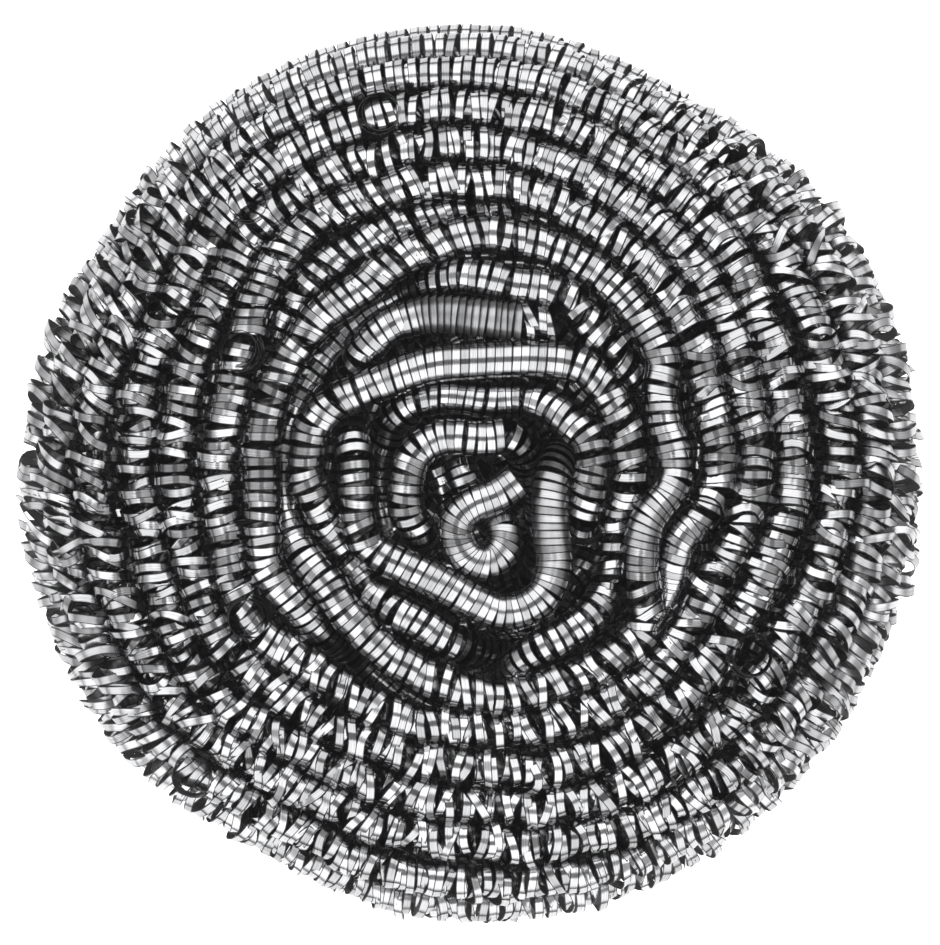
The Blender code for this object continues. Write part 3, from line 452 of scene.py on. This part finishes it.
def ribbon_tree():
    """Node tree that coils a flat ribbon round a line whose points carry the coil's form."""
    tree = bpy.data.node_groups.new("coiled_ribbon", "GeometryNodeTree")
    tree.interface.new_socket("Geometry", in_out="INPUT", socket_type="NodeSocketGeometry")
    for name in RIBBON_INPUTS:
        tree.interface.new_socket(name, in_out="INPUT", socket_type="NodeSocketFloat")
    tree.interface.new_socket("Material", in_out="INPUT", socket_type="NodeSocketMaterial")
    tree.interface.new_socket("Geometry", in_out="OUTPUT", socket_type="NodeSocketGeometry")
    given = tree.nodes.new("NodeGroupInput").outputs

    def attribute(name, kind="FLOAT"):
        return add_node(tree, "GeometryNodeInputNamedAttribute", {"Name": name}, data_type=kind).outputs[0]

    def marked(section, name, value):
        """The ribbon's section with a value kept on each of its corners, for the steel to read."""
        return add_node(tree, "GeometryNodeStoreNamedAttribute",
                        {"Geometry": section.outputs[0], "Name": name, "Value": value},
                        data_type="FLOAT", domain="POINT")

    def uneven(size, rate, offset, least=0.0):
        """Smooth noise that runs along the turns, of the given size where the coil lies loosely."""
        place = math_node(tree, "ADD", math_node(tree, "MULTIPLY_ADD", turn, rate, offset), given["Seed"])
        noise = add_node(tree, "ShaderNodeTexNoise", {"W": place, "Scale": 1.0, "Detail": 1.0},
                         noise_dimensions="1D")
        signed = math_node(tree, "MULTIPLY", math_node(tree, "SUBTRACT", noise.outputs[0], 0.5), 4.0)
        strength = math_node(tree, "ADD", looseness, least) if least else looseness
        return math_node(tree, "MULTIPLY", math_node(tree, "MULTIPLY", signed, strength), given[size])

    turn = attribute("turn")
    looseness = attribute("looseness")
    along = attribute("along", "FLOAT_VECTOR")
    side = attribute("side", "FLOAT_VECTOR")
    up = attribute("up", "FLOAT_VECTOR")
    angle = math_node(tree, "MULTIPLY", turn, 2 * math.pi)
    cosine = math_node(tree, "COSINE", angle)
    sine = math_node(tree, "SINE", angle)
    outward = vector_node(tree, "ADD", vector_node(tree, "SCALE", side, cosine),
                          vector_node(tree, "SCALE", up, sine))

    growth = math_node(tree, "ADD", uneven("Uneven Radius", 0.55, 11.0), 1.0)
    radius = math_node(tree, "MULTIPLY", attribute("coil_radius"), growth)
    aside = vector_node(tree, "ADD",
                        vector_node(tree, "SCALE", side, uneven("Uneven Centre", 0.37, 23.0)),
                        vector_node(tree, "SCALE", up, uneven("Uneven Centre", 0.33, 31.0)))
    lean = vector_node(tree, "DOT_PRODUCT", outward, attribute("lean", "FLOAT_VECTOR"))
    lean = math_node(tree, "MULTIPLY_ADD", uneven("Uneven Lean", 0.71, 47.0), cosine, lean)
    lean = math_node(tree, "MULTIPLY_ADD", uneven("Uneven Lean", 0.63, 59.0), sine, lean)
    shift = math_node(tree, "MULTIPLY_ADD", lean, radius, uneven("Clumping", 0.47, 37.0))
    offset = vector_node(tree, "ADD", vector_node(tree, "SCALE", outward, radius),
                         vector_node(tree, "SCALE", along, shift))
    offset = vector_node(tree, "ADD", offset, aside)
    moved = add_node(tree, "GeometryNodeSetPosition", {"Geometry": given["Geometry"], "Offset": offset})
    point = add_node(tree, "GeometryNodeInputPosition").outputs[0]
    apart = add_node(tree, "ShaderNodeSeparateXYZ", {0: point}).outputs
    height = math_node(tree, "MAXIMUM", apart[2], LOWEST_RIBBON * METRES)
    kept = add_node(tree, "ShaderNodeCombineXYZ", {0: apart[0], 1: apart[1], 2: height}).outputs[0]
    moved = add_node(tree, "GeometryNodeSetPosition", {"Geometry": moved.outputs[0], "Position": kept})
    coil = add_node(tree, "GeometryNodeMeshToCurve", {0: moved.outputs[0]})

    tilt = uneven("Uneven Tilt", 1.3, 71.0)
    tilt = math_node(tree, "ADD", tilt, attribute("shingle"))
    tilt = math_node(tree, "ADD", tilt, uneven("Uneven Shingles", 0.13, 83.0, 0.15))
    facing = vector_node(tree, "ADD", outward, vector_node(tree, "SCALE", along, tilt))
    course = add_node(tree, "GeometryNodeInputTangent").outputs[0]
    sideways = vector_node(tree, "NORMALIZE", vector_node(tree, "CROSS_PRODUCT", course, facing))
    facing = vector_node(tree, "NORMALIZE", vector_node(tree, "CROSS_PRODUCT", sideways, course))
    coil = add_node(tree, "GeometryNodeSetCurveNormal", {"Curve": coil.outputs[0], "Normal": facing},
                    mode="FREE")
    section = add_node(tree, "GeometryNodeCurvePrimitiveQuadrilateral",
                       {"Width": given["Ribbon Thickness"], "Height": given["Ribbon Width"]})
    point = add_node(tree, "GeometryNodeInputPosition").outputs[0]
    corner = add_node(tree, "ShaderNodeSeparateXYZ", {0: point}).outputs
    section = marked(section, "outer_face", math_node(tree, "GREATER_THAN", corner[0], 0.0))
    section = marked(section, "across", math_node(tree, "DIVIDE", corner[1], given["Ribbon Width"]))
    swept = add_node(tree, "GeometryNodeCurveToMesh",
                     {"Curve": coil.outputs[0], "Profile Curve": section.outputs[0], "Fill Caps": True})
    split = add_node(tree, "GeometryNodeTriangulate", {0: swept.outputs[0]}, quad_method="SHORTEST_DIAGONAL")
    bend = add_node(tree, "GeometryNodeInputMeshEdgeAngle").outputs[0]
    sharp = add_node(tree, "FunctionNodeCompare", {"A": bend, "B": math.radians(SHARP_BEND)},
                     operation="GREATER_THAN", data_type="FLOAT")
    edged = add_node(tree, "GeometryNodeSetShadeSmooth",
                     {"Geometry": split.outputs[0], "Selection": sharp.outputs[0], "Shade Smooth": False},
                     domain="EDGE")
    painted = add_node(tree, "GeometryNodeSetMaterial",
                       {"Geometry": edged.outputs[0], "Material": given["Material"]})
    whole = add_node(tree, "GeometryNodeRealizeInstances", {0: painted.outputs[0]})
    result = tree.nodes.new("NodeGroupOutput")
    tree.links.new(whole.outputs[0], result.inputs[0])
    return tree


# The steel: bright stainless strip as it leaves the rolls, with fine lines along it and some turns
# duller than others. Its cut edges, its inner face and the shoulders and flanks of the strand have
# painted shade in their colour, for the shade of the other turns round them. A painted glow stands
# for stray light among the turns, stronger at the rim for the light of the white worktop.
LINE_SCALE = (3.0, 7.0)
LINE_SHADES = (0.50, 0.68)
LINE_DEPTH = 0.00003
LINE_STRENGTH = 0.25
DULLER_TURNS = (0.62, 1.0)
COOL_TINT = 1.02
# Painted shade: the ribbon's cut edges are darkened in its colour, for the shade in the gaps between turns.
EDGE_BAND = (0.38, 0.44)
PAINTED_EDGE_SHADE = 0.16
OPEN_RIM = (0.034, 0.043)
# Painted shade: the inner face is darkened in its colour, for the shade inside the coil.
INNER_FACE_PAINTED_SHADES = (0.42, 0.52)
# Painted shade: the strand's shoulders and flanks, found by how steeply the surface faces, are darkened in
# its colour.
SHOULDER_SLOPES = (0.71, 0.82)
PAINTED_SHOULDER_SHADE = 0.60
FLANK_SLOPES = (0.45, 0.62)
PAINTED_FLANK_SHADE = 0.95
ROUGHNESS = (0.09, 0.24)
WORN_SHINGLES = (0.12, 0.36)
WORN_SHADE = -0.15
WORN_ROUGHNESS = 0.32
MATT_SIDES = (0.60, 0.85)
MATT_ROUGHNESS = 0.16
# Painted light: a glow in the steel for stray light among the turns, stronger at the rim for the white
# worktop's light.
PAINTED_GLOW_FROM = (0.041, 0.0455)
PAINTED_GLOW = (0.009, 0.045)


def ramp(tree, value, limits, results=(0.0, 1.0), interpolation="LINEAR"):
    """A change from one result to the other as a value goes from one limit to the other."""
    inputs = dict(enumerate((value, *limits, *results)))
    return add_node(tree, "ShaderNodeMapRange", inputs, interpolation_type=interpolation).outputs[0]


def mixed(tree, share, first, second):
    """The first value where the share is 0, and the second where it is 1."""
    return add_node(tree, "ShaderNodeMix", {0: share, 2: first, 3: second}, data_type="FLOAT").outputs[0]


def bright_steel():
    """Bright rolled stainless steel: fine lines, some turns duller, painted shade on inner face, edges,
    shoulders and flanks, a painted glow.
    """
    material = bpy.data.materials.new("bright_rolled_steel")
    material.use_nodes = True
    material.cycles.emission_sampling = "NONE"
    tree = material.node_tree
    shader = tree.nodes["Principled BSDF"]
    shader.inputs["Metallic"].default_value = 1.0
    shader.inputs["Emission Color"].default_value = (1.0, 1.0, 1.0, 1.0)

    def attribute(name):
        return add_node(tree, "ShaderNodeAttribute", attribute_name=name).outputs["Fac"]

    def batches(place, scale, detail):
        """Smooth noise along the turns: the steel comes out a little different from batch to batch."""
        inputs = {"W": place, "Scale": scale, "Detail": detail}
        return add_node(tree, "ShaderNodeTexNoise", inputs, noise_dimensions="1D").outputs[0]

    turn = attribute("turn")
    across = attribute("across")
    place = add_node(tree, "ShaderNodeCombineXYZ", {0: math_node(tree, "MULTIPLY", turn, LINE_SCALE[0]),
                                                    1: math_node(tree, "MULTIPLY", across, LINE_SCALE[1])})
    lines = add_node(tree, "ShaderNodeTexNoise", {"Vector": place.outputs[0], "Scale": 1.0, "Detail": 3.0})
    lines = lines.outputs[0]
    shade = ramp(tree, lines, (0.3, 0.7), LINE_SHADES)
    dull = batches(math_node(tree, "ADD", turn, 500.0), 0.9, 1.0)
    shade = math_node(tree, "MULTIPLY", shade, ramp(tree, dull, (0.38, 0.60), DULLER_TURNS))
    # Painted shade along the cut edges, for the shade between neighbouring turns.
    painted_edge_shade = ramp(tree, math_node(tree, "ABSOLUTE", across), EDGE_BAND, (1.0, PAINTED_EDGE_SHADE))
    spot = add_node(tree, "ShaderNodeTexCoord").outputs["Object"]
    level = vector_node(tree, "MULTIPLY", spot, (1.0, 1.0, 0.0))
    from_middle = vector_node(tree, "LENGTH", level)
    # Painted shade on the inner face, a little less at the open rim.
    painted_inner_shade = ramp(tree, from_middle, OPEN_RIM, INNER_FACE_PAINTED_SHADES)
    painted_face_shade = mixed(tree, attribute("outer_face"), painted_inner_shade, 1.0)
    shade = math_node(tree, "MULTIPLY", math_node(tree, "MULTIPLY", shade, painted_edge_shade), painted_face_shade)

    open_rim = ramp(tree, from_middle, OPEN_RIM)
    # Painted shade on the strand's shoulders and flanks, by how far the surface turns from facing up; none at
    # the open rim.
    normal = add_node(tree, "ShaderNodeNewGeometry").outputs["Normal"]
    upwards = add_node(tree, "ShaderNodeSeparateXYZ", {0: normal}).outputs[2]
    painted_shoulder_shade = ramp(tree, upwards, SHOULDER_SLOPES, (PAINTED_SHOULDER_SHADE, 1.0))
    painted_slope_shade = ramp(tree, upwards, FLANK_SLOPES, (PAINTED_FLANK_SHADE, PAINTED_SHOULDER_SHADE))
    painted_slope_shade = mixed(tree, open_rim, math_node(tree, "MAXIMUM", painted_shoulder_shade, painted_slope_shade), 1.0)
    worn = ramp(tree, attribute("shingle"), WORN_SHINGLES)
    worn = math_node(tree, "MULTIPLY", worn, math_node(tree, "SUBTRACT", 1.0, open_rim))
    shade = math_node(tree, "MULTIPLY", shade, math_node(tree, "MULTIPLY_ADD", worn, WORN_SHADE, 1.0))
    shade = math_node(tree, "MULTIPLY", shade, painted_slope_shade)

    gloss = ramp(tree, batches(turn, 0.8, 2.0), (0.3, 0.7), ROUGHNESS)
    gloss = math_node(tree, "MULTIPLY_ADD", worn, WORN_ROUGHNESS, gloss)
    sideways = add_node(tree, "ShaderNodeSeparateXYZ", {0: vector_node(tree, "NORMALIZE", level)}).outputs[0]
    matt = ramp(tree, math_node(tree, "ABSOLUTE", sideways), MATT_SIDES)
    matt = math_node(tree, "MULTIPLY", matt, open_rim)
    gloss = math_node(tree, "MULTIPLY_ADD", matt, MATT_ROUGHNESS, gloss)
    colour = add_node(tree, "ShaderNodeCombineColor",
                      {0: shade, 1: shade, 2: math_node(tree, "MULTIPLY", shade, COOL_TINT)})
    bump = add_node(tree, "ShaderNodeBump",
                    {"Strength": LINE_STRENGTH, "Distance": LINE_DEPTH, "Height": lines})
    # Painted light: the steel glows a little everywhere, and more towards the rim.
    tree.links.new(ramp(tree, from_middle, PAINTED_GLOW_FROM, PAINTED_GLOW), shader.inputs["Emission Strength"])
    tree.links.new(colour.outputs[0], shader.inputs["Base Color"])
    tree.links.new(gloss, shader.inputs["Roughness"])
    tree.links.new(bump.outputs[0], shader.inputs["Normal"])
    return material


# The columns of a coil's form, one row for each segment of the ribbon: turns made so far, point on the
# strand's line, place in the route, course of the line, way up, radius of the coil, how unevenly it
# lies, its lean, and how far its turns lie over each other.
TURNS, POINT, PLACE, COURSE, UP = 0, slice(1, 4), 4, slice(5, 8), slice(8, 11)
RADIUS, LOOSENESS, LEAN, SHINGLE = 11, 12, slice(13, 16), 16
COLUMNS = 17


def route_place(stretch, share):
    """Place in the route, at a share of one stretch."""
    return stretch_start[stretch] + share * (following[stretch] - stretch_start[stretch])


def towards(points, direction, spread):
    """How far each point lies towards a direction from the middle: 1 straight that way, 0 away from it."""
    away = (np.degrees(np.arctan2(points[:, 1], points[:, 0])) - direction + 180.0) % 360.0 - 180.0
    return np.exp(-(away / spread) ** 2)


def coil_form(fine, coil_places):
    """Where each segment of the ribbon lies along the fine line, and the coil's form there."""
    places = [route_place(name, share) for name, share, *_ in coil_places]
    pitch, diameter, looseness, lean = (np.interp(fine[:, 3], places, [row[column] for row in coil_places])
                                        for column in (2, 3, 4, 5))
    outer = np.interp(np.hypot(fine[:, 0], fine[:, 1]), OUTER_ROWS_FROM, (0.0, 1.0))
    for direction, spread, apart, aslant, loosened in SIDES:
        there = outer * towards(fine, direction, spread)
        pitch = pitch * (1.0 + apart * there)
        lean = lean + aslant * there
        looseness = looseness * (1.0 + loosened * there)
    lengths = np.arange(len(fine)) * np.linalg.norm(fine[1, :3] - fine[0, :3])
    turns = np.concatenate([[0.0], np.cumsum(np.diff(lengths) / pitch[1:])])
    along = np.gradient(fine[:, :3], axis=0)
    along /= np.linalg.norm(along, axis=1, keepdims=True)
    ups = np.zeros_like(along)
    up = np.array([0.0, 0.0, 1.0])
    for index, course in enumerate(along):
        up = up - course * (up @ course)
        up /= np.linalg.norm(up)
        ups[index] = up
    level = np.cross(along, [0.0, 0.0, 1.0])
    shingle = np.interp(fine[:, 3], [route_place(name, share) for name, share, _ in SHINGLE_PLACES],
                        [tilt for *_, tilt in SHINGLE_PLACES])
    table = np.column_stack([fine, along, ups, diameter / 2, looseness, level * lean[:, None], shingle])
    wanted = np.arange(0.0, turns[-1], 1.0 / SEGMENTS_PER_TURN)
    return np.column_stack([wanted] + [np.interp(wanted, turns, column) for column in table.T])


following = dict(zip(list(stretch_start)[:-1], list(stretch_start.values())[1:]))
fine_line = smooth_line(line, FINE_STEP)
form = coil_form(fine_line, COIL_PLACES)
ribbon_nodes = ribbon_tree()
steel = bright_steel()


def coiled_piece(name, rows, seed=COIL_SEED):
    """One length of the ribbon as a plain mesh, made by the node tree round its part of the line."""
    guide = bpy.data.meshes.new(name + "_guide")
    edges = [(index, index + 1) for index in range(len(rows) - 1)]
    guide.from_pydata((rows[:, POINT] * METRES).tolist(), edges, [])
    only_for_the_tree = {
        "coil_radius": rows[:, RADIUS] * METRES, "looseness": rows[:, LOOSENESS], "along": rows[:, COURSE],
        "up": rows[:, UP], "side": np.cross(rows[:, COURSE], rows[:, UP]), "lean": rows[:, LEAN]}
    kept = {"turn": rows[:, TURNS], "shingle": rows[:, SHINGLE]}
    for key, values in {**only_for_the_tree, **kept}.items():
        kind, field = ("FLOAT", "value") if values.ndim == 1 else ("FLOAT_VECTOR", "vector")
        guide.attributes.new(key, kind, "POINT").data.foreach_set(field, np.ascontiguousarray(values).ravel())
    holder = bpy.data.objects.new(name + "_guide", guide)
    bpy.context.scene.collection.objects.link(holder)
    modifier = holder.modifiers.new("coil", "NODES")
    modifier.node_group = ribbon_nodes
    settings = {**RIBBON_INPUTS, "Seed": seed, "Material": steel}
    for socket in ribbon_nodes.interface.items_tree:
        if socket.in_out == "INPUT" and socket.name in settings:
            modifier[socket.identifier] = settings[socket.name]
    holder.update_tag()
    evaluated = holder.evaluated_get(bpy.context.evaluated_depsgraph_get())
    mesh = bpy.data.meshes.new_from_object(evaluated)
    mesh.name = name
    bpy.data.objects.remove(holder)
    bpy.data.meshes.remove(guide)
    for key in only_for_the_tree:
        if key in mesh.attributes:
            mesh.attributes.remove(mesh.attributes[key])
    piece = bpy.data.objects.new(name, mesh)
    bpy.context.scene.collection.objects.link(piece)
    return piece


# The winding's ribbon: one ribbon on the real pad, from the cut end to the open end in the centre. It
# is made here in seven lengths that follow on from each other, each named for where it lies.
LENGTHS = (
    ("ribbon_of_the_middle", ("cut_end_run", 0.0)), ("ribbon_of_the_inner_rows", ("second_row", 0.0)),
    ("ribbon_of_the_outer_rows", ("fifth_row", 0.0)), ("ribbon_of_the_rim", ("rim_and_base", 0.0)),
    ("ribbon_of_the_underside", ("rim_and_base", 0.4)), ("ribbon_of_the_filling", ("low_filling", 0.0)),
    ("ribbon_of_the_centre_loop", ("centre_loop", 0.0)),
)
length_starts = [route_place(*start) for _, start in LENGTHS] + [stretch_start["end"]]
for (name, _), first, last in zip(LENGTHS, length_starts, length_starts[1:]):
    inside = np.flatnonzero((form[:, PLACE] >= first) & (form[:, PLACE] <= last))
    piece = coiled_piece(name, form[inside[0]:inside[-1] + 2])
    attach(piece, "root")
    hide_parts("wound_strand")

# Loose turns: where the pad has been pulled about, turns of the ribbon have sprung out of the outer
# rows. They are further apart than the rest, and lie aslant over the rows. The columns are those of
# the table of places above, and towards two sides the turns have sprung out less.
LOOSE_PLACES = [
    ("fourth_row", 0.0, 3.8, 4.0, 0.9, 0.3), ("fifth_row", 0.5, 3.5, 4.1, 1.0, 0.3),
    ("seventh_row", 0.0, 2.6, 4.1, 1.0, 0.4), ("rim_and_base", 0.3, 2.3, 3.9, 1.0, 0.4),
]
LOOSE_FROM = ("fourth_row", 0.1)
LOOSE_TO = ("rim_and_base", 0.3)
TIGHTER_SIDES = ((97.0, 38.0, 0.35), (185.0, 50.0, 0.30))
LOOSE_SEED = COIL_SEED + 311.0

loose_form = coil_form(fine_line, LOOSE_PLACES)
inside = np.flatnonzero((loose_form[:, PLACE] >= route_place(*LOOSE_FROM))
                        & (loose_form[:, PLACE] <= route_place(*LOOSE_TO)))
for direction, spread, tighter in TIGHTER_SIDES:
    loose_form[:, RADIUS] *= 1.0 - tighter * towards(loose_form[:, POINT], direction, spread)
piece = coiled_piece("loose_turns", loose_form[inside], LOOSE_SEED)
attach(piece, "root")
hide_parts("wound_strand")

# Upright turns: here and there a short bit of the coil has turned on end between two rows, so that
# it shows from above as thin rings, one inside the other.
UPRIGHT_PLACES = ((-22.6, 11.9), (-21.9, 26.5), (-9.0, 35.4), (27.6, -18.1), (-21.9, -14.3), (-27.4, -30.1))
UPRIGHT_LENGTH = 2.1
UPRIGHT_DIAMETER = 4.6
UPRIGHT_TOP_SHARE = 0.80
UPRIGHT_PITCH = 0.6
UPRIGHT_LEAN = 0.25
UPRIGHT_LOOSENESS = 0.25
UPRIGHT_RISE = 0.4
HIGHER_ROWS_FIRST = 0.3
UPRIGHT_TURNS_APART = 7.3


def upright_form(number, x, y):
    """The rows of a short coil that stands between the rows at one place, leaning a little outwards."""
    nearest = fine_line[np.argmin(np.hypot(fine_line[:, 0] - x, fine_line[:, 1] - y)
                                  - HIGHER_ROWS_FIRST * fine_line[:, 2])]
    top = nearest[2] + STRAND_DIAMETER / 2 + UPRIGHT_RISE
    outwards = np.array([x, y, 0.0]) / math.hypot(x, y)
    course = np.array([0.0, 0.0, 1.0]) + outwards * UPRIGHT_LEAN
    course /= np.linalg.norm(course)
    count = int(UPRIGHT_LENGTH / UPRIGHT_PITCH * SEGMENTS_PER_TURN)
    steps = np.arange(count) / SEGMENTS_PER_TURN
    rows = np.zeros((count, COLUMNS))
    rows[:, TURNS] = steps + UPRIGHT_TURNS_APART * number
    rows[:, POINT] = np.array([x, y, top - UPRIGHT_LENGTH]) + course * (steps * UPRIGHT_PITCH)[:, None]
    rows[:, COURSE] = course
    rows[:, UP] = np.cross(course, [-outwards[1], outwards[0], 0.0])
    rows[:, RADIUS] = UPRIGHT_DIAMETER / 2 * np.linspace(1.0, UPRIGHT_TOP_SHARE, count)
    rows[:, LOOSENESS] = UPRIGHT_LOOSENESS
    return rows


for number, (x, y) in enumerate(UPRIGHT_PLACES):
    piece = coiled_piece("upright_turns_" + str(number + 1), upright_form(number, x, y))
    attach(piece, "root")
    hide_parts("wound_strand")

# Stray turns: the last turns at the cut end have sprung apart, and a short bit of the coil shows deep
# in the middle. For each: where it starts and ends in millimetres, its diameter, the millimetres a
# turn, how unevenly it lies and how far it leans.
STRAY_TURNS = (
    ("turns_at_the_cut_end", (5.2, 15.2, 25.0), (8.2, 14.6, 24.6), 3.3, 0.75, 0.9, 0.5),
    ("turns_deep_in_the_middle", (-3.4, 0.2, 22.0), (-2.0, -3.6, 21.6), 2.6, 0.7, 0.5, 0.2),
)
STRAY_TURNS_APART = 3.1
STRAY_SEEDS_APART = 17.0

for number, (name, first, last, diameter, pitch, looseness, lean) in enumerate(STRAY_TURNS):
    first, last = np.array(first), np.array(last)
    length = np.linalg.norm(last - first)
    count = int(length / pitch * SEGMENTS_PER_TURN)
    course = (last - first) / length
    rows = np.zeros((count, COLUMNS))
    rows[:, TURNS] = np.arange(count) / SEGMENTS_PER_TURN + STRAY_TURNS_APART * number
    rows[:, POINT] = first + np.linspace(0.0, 1.0, count)[:, None] * (last - first)
    rows[:, COURSE] = course
    rows[:, UP] = np.cross(np.cross(course, [0.0, 0.0, 1.0]), course)
    rows[:, RADIUS] = diameter / 2
    rows[:, LOOSENESS] = looseness
    rows[:, LEAN] = np.cross(course, [0.0, 0.0, 1.0]) * lean
    piece = coiled_piece(name, rows, COIL_SEED + STRAY_SEEDS_APART * (number + 1))
    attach(piece, "root")
    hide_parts("wound_strand")

# The worktop is plain and white, lit and made to glow so brightly that nothing of it shows but a
# white ground. Under the pad a painted shadow darkens its colour and its glow, for the shade under a
# thick real pad. Each pair is under it, then outside.
WORKTOP_SIZE = 12.0
# Painted shadow: the first of each pair darkens the worktop's colour and glow under the pad.
WORKTOP_TONE_AND_PAINTED_SHADOW = (0.02, 0.95)
WORKTOP_GLOW_AND_PAINTED_SHADOW = (0.012, 0.60)
WORKTOP_ROUGHNESS = 0.9
PAD_EDGE = (0.036, 0.044)

half = WORKTOP_SIZE / 2
floor_mesh = bpy.data.meshes.new("worktop")
floor_mesh.from_pydata([(-half, -half, 0.0), (half, -half, 0.0), (half, half, 0.0), (-half, half, 0.0)],
                       [], [(0, 1, 2, 3)])
floor = bpy.data.objects.new("worktop", floor_mesh)
floor_paint = bpy.data.materials.new("white_worktop_with_painted_shadow")
floor_paint.use_nodes = True
floor_tree = floor_paint.node_tree
paint = floor_tree.nodes["Principled BSDF"]
paint.inputs["Roughness"].default_value = WORKTOP_ROUGHNESS
paint.inputs["Emission Color"].default_value = (1.0, 1.0, 1.0, 1.0)
from_pad = vector_node(floor_tree, "LENGTH", add_node(floor_tree, "ShaderNodeTexCoord").outputs["Object"])
# Painted shadow: colour and glow fall off under the pad.
glow = ramp(floor_tree, from_pad, PAD_EDGE, WORKTOP_GLOW_AND_PAINTED_SHADOW, "SMOOTHSTEP")
tone_and_painted_shadow = ramp(floor_tree, from_pad, PAD_EDGE, WORKTOP_TONE_AND_PAINTED_SHADOW, "SMOOTHSTEP")
grey = add_node(floor_tree, "ShaderNodeCombineColor", {0: tone_and_painted_shadow, 1: tone_and_painted_shadow, 2: tone_and_painted_shadow})
floor_tree.links.new(glow, paint.inputs["Emission Strength"])
floor_tree.links.new(grey.outputs[0], paint.inputs["Base Color"])
floor_mesh.materials.append(floor_paint)
bpy.context.scene.collection.objects.link(floor)
floor.visible_glossy = False

# A white card lies round the pad and lights the turns at its edge from below. It is a flat ring, and
# only reflections show it.
CARD_RADII = (0.040, 0.300)
CARD_HEIGHT = 0.0002
CARD_GLOW = 1.2
CARD_SIDES = 96

corners = []
for radius in CARD_RADII:
    for side in range(CARD_SIDES):
        angle = 2 * math.pi * side / CARD_SIDES
        corners.append((radius * math.cos(angle), radius * math.sin(angle), CARD_HEIGHT))
faces = []
for side in range(CARD_SIDES):
    following_side = (side + 1) % CARD_SIDES
    faces.append((side, CARD_SIDES + side, CARD_SIDES + following_side, following_side))
card_mesh = bpy.data.meshes.new("reflector_card")
card_mesh.from_pydata(corners, [], faces)
card = bpy.data.objects.new("reflector_card", card_mesh)
card_paint = bpy.data.materials.new("lit_white_card")
card_paint.use_nodes = True
lit = card_paint.node_tree.nodes["Principled BSDF"]
lit.inputs["Base Color"].default_value = (0.0, 0.0, 0.0, 1.0)
lit.inputs["Emission Color"].default_value = (1.0, 1.0, 1.0, 1.0)
lit.inputs["Emission Strength"].default_value = CARD_GLOW
card_mesh.materials.append(card_paint)
bpy.context.scene.collection.objects.link(card)
card.visible_camera = False
card.visible_diffuse = False
card.visible_shadow = False

# The room: two wide softboxes north and south of the pad, grey walls to the east and west, the west
# one brighter, and a dark patch straight above, where the camera hangs. All are painted on the sky,
# far away. The feet and the patch are in degrees from straight above.
SOFTBOX_GLOW = 1.55
SOFTBOX_FOOT = (64.0, 92.0)
SOFTBOX_SIDE = (0.38, 0.52)
WALL_GLOW = 0.56
WALL_FOOT = (52.0, 108.0)
WEST_SHARE = 0.2
CAMERA_PATCH = (15.0, 20.0)
PATCH_GLOW = 0.26
DARK_GLOW = 0.05
BACKDROP = 0.9

room = bpy.data.worlds.new("softbox_room")
room.use_nodes = True
sky = room.node_tree
background = sky.nodes["Background"]
direction = add_node(sky, "ShaderNodeTexCoord").outputs["Generated"]
east, north, upwards = add_node(sky, "ShaderNodeSeparateXYZ", {0: direction}).outputs
flat_length = math_node(sky, "SQRT", math_node(sky, "ADD", math_node(sky, "POWER", east, 2.0),
                                               math_node(sky, "POWER", north, 2.0)))
northness = math_node(sky, "DIVIDE", math_node(sky, "ABSOLUTE", north), flat_length)
from_zenith = math_node(sky, "ARCCOSINE", upwards)
opening = ramp(sky, from_zenith, np.radians(CAMERA_PATCH).tolist(), interpolation="SMOOTHSTEP")
softbox = ramp(sky, from_zenith, np.radians(SOFTBOX_FOOT).tolist(), (SOFTBOX_GLOW, DARK_GLOW), "SMOOTHSTEP")
wall = ramp(sky, from_zenith, np.radians(WALL_FOOT).tolist(), (WALL_GLOW, DARK_GLOW), "SMOOTHSTEP")
wall = math_node(sky, "MULTIPLY", wall, math_node(sky, "MULTIPLY_ADD", east, -WEST_SHARE, 1.0))
share = ramp(sky, northness, SOFTBOX_SIDE, interpolation="SMOOTHSTEP")
glow = mixed(sky, opening, PATCH_GLOW, mixed(sky, share, wall, softbox))
seen = add_node(sky, "ShaderNodeLightPath").outputs["Is Camera Ray"]
sky.links.new(mixed(sky, seen, glow, BACKDROP), background.inputs["Strength"])
background.inputs["Color"].default_value = (1.0, 1.0, 1.0, 1.0)
bpy.context.scene.world = room
view = bpy.context.scene.view_settings
view.view_transform = "Standard"
view.look = "Medium High Contrast"
bpy.context.scene.cycles.max_bounces = 5
bpy.context.scene.cycles.glossy_bounces = 4
bpy.context.scene.cycles.diffuse_bounces = 1
